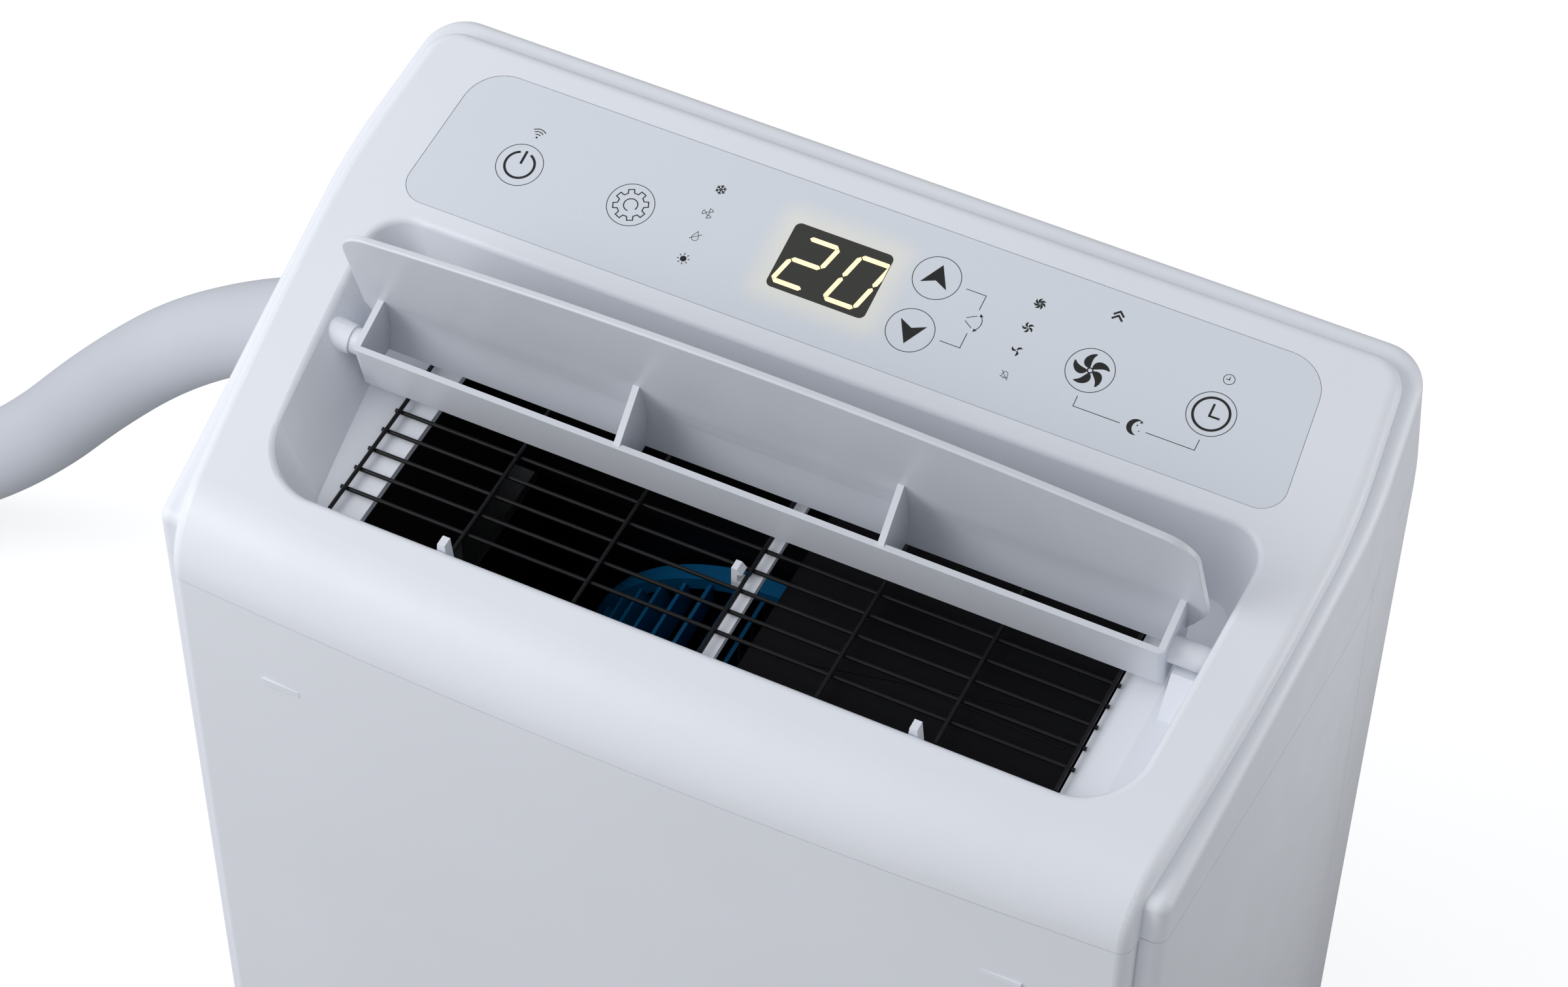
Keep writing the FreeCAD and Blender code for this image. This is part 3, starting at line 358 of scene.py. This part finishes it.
def mode_key():
    symbol = key("key_mode", -95.8, 0.0)
    outline = []
    for tooth in range(8):
        middle = 22.5 + 45 * tooth
        for offset, radius in ((-13.5, 5.3), (-9.5, 7.0), (9.5, 7.0), (13.5, 5.3)):
            a = math.radians(middle + offset)
            outline.append((radius * math.cos(a), radius * math.sin(a)))
    symbol.stroke(outline, MEDIUM, closed=True)
    symbol.arc(2.75, MEDIUM, -28, 270)
    symbol.make()


def arrow_keys():
    for name, v, way in (("key_up", 14.7, 1), ("key_down", -9.7, -1)):
        symbol = key(name, 26.55, v)
        tip, notch = (0, 6.1 * way), (0, -1.1 * way)
        symbol.face([tip, notch, (-5.4, -3.6 * way)])
        symbol.face([tip, (5.4, -3.6 * way), notch])
        symbol.make()


def fan_key():
    symbol = key("key_fan", 95.7, 0.0)
    symbol.arc(1.05, 0.5, steps=40)
    for k in range(5):
        symbol.blade(72 * k + 58, 1.2, 7.3, 3.4, -38)
    symbol.make()


def timer_key():
    symbol = key("key_timer", 144.2, 0.0)
    symbol.arc(6.9, BOLD)
    symbol.stroke([(-0.4, 4.4), (-0.4, -1.0), (3.7, -1.0)], BOLD * 0.85)
    symbol.make()


def wireless_mark():
    symbol = Print("mark_wireless", -143.4, 13.6).disc(0.42, steps=16)
    for radius in (1.5, 2.7, 3.9):
        symbol.arc(radius, 0.36, 48, 132)
    symbol.make()


def snow_mark():
    symbol = Print("mark_cool", -66.4, 19.2)
    for k in range(6):
        a = math.radians(60 * k + 30)
        ahead, side = Vector((math.cos(a), math.sin(a))), Vector((-math.sin(a), math.cos(a)))
        symbol.stroke([tuple(ahead * 0.15), tuple(ahead * 2.2)], 0.42)
        points = (ahead * 1.75 + side * 0.7, ahead * 1.15, ahead * 1.75 - side * 0.7)
        symbol.stroke([tuple(p) for p in points], 0.36)
    symbol.make()


def vent_mark():
    symbol = Print("mark_vent", -66.5, 7.8).arc(0.6, 0.2, steps=32)
    for k in range(3):
        angles = [math.radians(120 * k + 62 + a) for a in (-26, -13, 0, 13, 26)]
        outline = [(2.2 * math.cos(a), 2.2 * math.sin(a)) for a in angles]
        for turn in (14, -14):
            a = math.radians(120 * k + 62) + math.radians(turn)
            outline.append((0.95 * math.cos(a), 0.95 * math.sin(a)))
        symbol.stroke(outline, 0.22, closed=True)
    symbol.make()


def drop_mark():
    symbol = Print("mark_dry", -66.4, -3.3)
    drop = [(0, 2.4)]
    for k in range(13):
        a = math.radians(25 - 230 * k / 12)
        drop.append((1.35 * math.cos(a), -0.55 + 1.35 * math.sin(a)))
    symbol.stroke(drop, 0.2, closed=True)
    symbol.stroke([(-2.1, -1.5), (2.1, 1.6)], 0.2)
    symbol.make()


def sun_mark():
    symbol = Print("mark_heat", -66.5, -13.9).disc(1.25)
    for k in range(8):
        a = math.radians(45 * k + 10)
        symbol.stroke([(radius * math.cos(a), radius * math.sin(a)) for radius in (1.75, 2.5)], 0.34)
    symbol.make()


def swing_mark():
    symbol = Print("mark_swing", 0, 0)
    symbol.stroke([(38.8, 14.6), (47.0, 14.6), (47.0, 8.0)], THIN)
    symbol.stroke([(38.7, -9.6), (46.9, -9.6), (46.9, -2.8)], THIN)
    symbol.stroke([(43.9, 3.3), (47.5, 5.4)], 0.26)
    symbol.stroke([(43.9, 1.9), (47.3, -0.2)], 0.26)
    symbol.arc(4.3, 0.28, -42, 42, x=45.9, v=2.6)
    for way in (1, -1):
        symbol.face([(48.4, 2.6 + 4.1 * way), (48.3, 2.6 + 2.7 * way), (49.8, 2.6 + 3.1 * way)])
    symbol.make()


def speed_marks():
    for v, count in ((19.1, 7), (8.0, 5), (-2.6, 3)):
        symbol = Print("mark_speed_%d" % count, 67.0, v).arc(0.42, 0.16, steps=24)
        for k in range(count):
            symbol.blade(360 * k / count + 70, 0.45, 2.35, 1.0, -34)
        symbol.make()
    symbol = Print("mark_quiet", 67.0, -13.8)
    symbol.stroke([(-1.3, -0.9), (-0.9, -0.5), (-0.9, 0.7), (-0.2, 1.5), (0.6, 1.5), (1.2, 0.7), (1.2, -0.5),
                   (1.6, -0.9)], 0.18, closed=True)
    symbol.stroke([(-0.3, -1.3), (0.5, -1.3)], 0.2)
    symbol.stroke([(-1.6, 1.7), (1.7, -1.8)], 0.2)
    symbol.make()


def boost_mark():
    """Two stacked chevrons for full power."""
    symbol = Print("mark_boost", 96.3, 25.4)
    for lift in (-1.2, 0.7):
        symbol.stroke([(-2.1, lift - 0.6), (0, lift + 1.3), (2.1, lift - 0.6)], 0.8)
    symbol.make()


def small_clock_mark():
    symbol = Print("mark_clock", 144.7, 15.9).arc(2.15, 0.24)
    symbol.stroke([(0.1, 1.3), (0.1, -0.1), (-1.2, -0.1)], 0.26)
    symbol.disc(0.3, 0.1, 0.0, 12)
    symbol.make()


def sleep_mark():
    symbol = Print("mark_sleep", 0, 0)
    symbol.stroke([(95.7, -11.6), (95.8, -16.2), (114.6, -16.2)], THIN)
    symbol.stroke([(125.0, -16.3), (144.3, -16.3), (144.4, -11.5)], THIN)
    left, right = [], []
    for k in range(21):
        a = math.radians(70 + 220 * k / 20)
        b = math.radians(104 + 152 * k / 20)
        left.append((120.6 + 3.4 * math.cos(a), -15.6 + 3.4 * math.sin(a)))
        right.append((122.6 + 3.3 * math.cos(b), -15.6 + 3.22 * math.sin(b)))
    symbol.strip(left, right)
    for x, v, size in ((122.0, -13.0, 0.75), (121.0, -14.7, 0.45), (122.4, -16.8, 0.35)):
        for k in range(5):
            a, b, c = (math.radians(90 + 72 * k + d) for d in (0, 36, -36))
            symbol.face([(x, v), (x + size * 0.45 * math.cos(c), v + size * 0.45 * math.sin(c)),
                         (x + size * math.cos(a), v + size * math.sin(a)),
                         (x + size * 0.45 * math.cos(b), v + size * 0.45 * math.sin(b))])
    symbol.make()


# ---- display ----
DIGIT_TOP, DIGIT_MID, DIGIT_LOW = 12.4, 1.7, -9.2
DIGIT_WIDTH, DIGIT_SLANT, BAR = 12.5, 0.27, 1.95
WINDOW_EDGE_X = 7.9
BARS = {"top": ((0, 2), (1, 2)), "middle": ((0, 1), (1, 1)), "bottom": ((0, 0), (1, 0)),
        "left_high": ((0, 1), (0, 2)), "left_low": ((0, 0), (0, 1)),
        "right_high": ((1, 1), (1, 2)), "right_low": ((1, 0), (1, 1))}


def lit_digit(name, left_x, lit):
    """Seven-segment digit: six-sided bars with a hair gap between their points."""
    symbol = Print(name, material="segment", base=WINDOW_H, clip_x=WINDOW_EDGE_X)
    heights = (DIGIT_LOW, DIGIT_MID, DIGIT_TOP)
    for bar in lit:
        ends = []
        for column, row in BARS[bar]:
            v = heights[row]
            ends.append(Vector((left_x + column * DIGIT_WIDTH + DIGIT_SLANT * (v - DIGIT_MID), v)))
        along = (ends[1] - ends[0]).normalized()
        side = Vector((0, 1)) if abs(along.x) > 0.9 else Vector((1, 0))
        half, gap = BAR / 2, 0.22
        a, b = ends[0] + along * gap, ends[1] - along * gap
        symbol.face([tuple(p) for p in (a, a + along * half - side * half, b - along * half - side * half, b,
                                        b - along * half + side * half, a + along * half + side * half)])
    symbol.make()


def display():
    lit_digit("digit_tens", -28.4, ("top", "right_high", "middle", "left_low", "bottom"))
    lit_digit("digit_units", -6.7, ("top", "right_high", "right_low", "bottom", "left_low", "left_high"))


# ---- hose ----
HOSE_R = 23.0
HOSE_ROUTE = [
    (-130, 208, 356), (-196, 208, 356), (-262, 208, 351), (-328, 207, 337), (-394, 206, 309),
    (-455, 205, 265), (-510, 204, 203), (-560, 203, 137), (-618, 200, 82), (-690, 192, 42),
    (-768, 171, 23), (-835, 131, 23), (-888, 74, 23), (-923, 4, 23), (-938, -73, 23),
    (-931, -151, 23), (-903, -224, 23), (-856, -286, 23), (-794, -333, 23),
]


def hose():
    curve = bpy.data.curves.new("hose", "CURVE")
    curve.dimensions = "3D"
    spline = curve.splines.new("NURBS")
    spline.points.add(len(HOSE_ROUTE) - 1)
    for point, place in zip(spline.points, HOSE_ROUTE):
        point.co = (*(c * MM for c in place), 1)
    spline.order_u = 3
    spline.use_endpoint_u = True
    spline.resolution_u = 12
    curve.bevel_depth = HOSE_R * MM
    curve.bevel_resolution = 12
    curve.use_fill_caps = True
    curve.materials.append(MATERIALS["hose_sleeve"])
    piece = bpy.data.objects.new("hose_line", curve)
    bpy.context.scene.collection.objects.link(piece)
    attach(piece, "cabinet")
    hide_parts("line_hose")


# ---- stage: lengths in metres ----
CAMERA_AT = Vector((453.5, -1008.8, 1912.5)) * MM
PITCH, YAW, ROLL = (math.radians(a) for a in (49.85, 25.17, -0.87))
LENS = 100.3
SENSOR = 36.0
FLOOR_SIZE = 40
FLOOR_DROP = 0.0005        # the floor lies this far below the castors
FLOOR_GLOW = 0.42          # the floor's own light, which keeps it pale all over
SKY_LEVEL = 0.49
SKY_LEAN = (-0.27, -0.12, 0.15)      # brighter towards the left, the front and above


def camera():
    ahead = Vector((-math.sin(YAW) * math.cos(PITCH), math.cos(YAW) * math.cos(PITCH), -math.sin(PITCH)))
    level = Vector((math.cos(YAW), math.sin(YAW), 0))
    down = ahead.cross(level)
    right = level * math.cos(ROLL) + down * math.sin(ROLL)
    up = level * math.sin(ROLL) - down * math.cos(ROLL)
    data = bpy.data.cameras.new("camera")
    data.lens, data.sensor_width = LENS, SENSOR
    item = bpy.data.objects.new("camera", data)
    bpy.context.scene.collection.objects.link(item)
    item.matrix_world = Matrix.Translation(CAMERA_AT) @ Matrix((right, up, -ahead)).transposed().to_4x4()
    bpy.context.scene.camera = item


def soft_light(name, place, aim, size, power):
    data = bpy.data.lights.new(name, "AREA")
    data.shape = "RECTANGLE"
    data.size, data.size_y = size
    data.energy = power
    item = bpy.data.objects.new(name, data)
    item.location = place
    item.rotation_euler = (Vector(aim) - Vector(place)).to_track_quat("-Z", "Y").to_euler()
    item.visible_camera = False
    bpy.context.scene.collection.objects.link(item)


def sky(tree, middle, tilt):
    """Soft surroundings: even light that leans one way, the same all round in colour."""
    background = tree.nodes["Background"]
    place = tree.nodes.new("ShaderNodeTexCoord")
    lean = tree.nodes.new("ShaderNodeVectorMath")
    lean.operation = "DOT_PRODUCT"
    lean.inputs[1].default_value = tilt
    level = tree.nodes.new("ShaderNodeMath")
    level.operation = "ADD"
    level.inputs[1].default_value = middle
    tree.links.new(place.outputs["Generated"], lean.inputs[0])
    tree.links.new(lean.outputs["Value"], level.inputs[0])
    tree.links.new(level.outputs[0], background.inputs["Strength"])
    background.inputs["Color"].default_value = (0.97, 0.98, 1.0, 1)


def studio():
    bpy.context.scene.view_settings.view_transform = "Standard"
    bpy.ops.mesh.primitive_plane_add(size=FLOOR_SIZE, location=(0, 0, -FLOOR_DROP))
    floor = bpy.context.object
    floor.name = "floor"
    paper = moulded("floor_paper", (0.94, 0.94, 0.94), 0.85, grain=200, bump=0.02, drift=0.003)
    shader = paper.node_tree.nodes["Principled BSDF"]
    shader.inputs["Emission Color"].default_value = (1, 1, 1, 1)
    shader.inputs["Emission Strength"].default_value = FLOOR_GLOW
    floor.data.materials.append(paper)
    floor.visible_diffuse = False
    floor.visible_glossy = False
    world = bpy.data.worlds.new("studio")
    bpy.context.scene.world = world
    world.use_nodes = True
    sky(world.node_tree, SKY_LEVEL, SKY_LEAN)
    soft_light("key_above", (-1.1, -0.8, 1.55), (0, -0.1, 0.65), (1.1, 0.9), 12)
    soft_light("side_fill", (0.6, 0.12, 0.72), (0.215, 0.05, 0.62), (0.4, 0.3), 0.9)


def main():
    dress_nodes()
    hose()
    power_key()
    mode_key()
    arrow_keys()
    fan_key()
    timer_key()
    wireless_mark()
    snow_mark()
    vent_mark()
    drop_mark()
    sun_mark()
    swing_mark()
    speed_marks()
    boost_mark()
    small_clock_mark()
    sleep_mark()
    display()
    camera()
    studio()


main()
bpy.context.view_layer.update()
